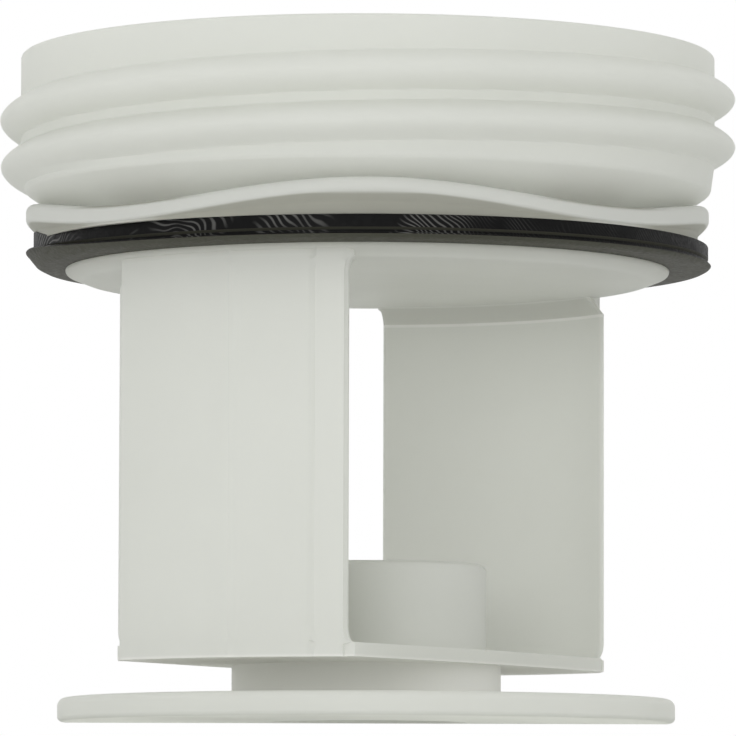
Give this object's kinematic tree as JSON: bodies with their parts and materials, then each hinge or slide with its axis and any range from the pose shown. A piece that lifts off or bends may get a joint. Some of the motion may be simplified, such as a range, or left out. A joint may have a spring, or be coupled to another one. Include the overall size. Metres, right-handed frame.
{
  "type": "lint filter",
  "caption": "Screw-in lint filter of a washing machine drain pump: threaded cap with grip bar, wavy collar, rubber seal ring, curved side walls and an end disc.",
  "frame": {"origin": "middle of the end disc's flat underside, on the cap's axis", "axes": "+Z along the axis from the end disc to the open cup, -Y towards the front as pictured"},
  "size_m": [0.0752, 0.0752, 0.068],
  "materials": {
    "body_plastic": "satin milky white polypropylene with a slightly green-grey cast",
    "seal_rubber": "black rubber with faint pale moulding marks"
  },
  "bodies": {
    "root": {"filter_body": "body_plastic", "seal_ring": "seal_rubber"}
  },
  "joints": []
}
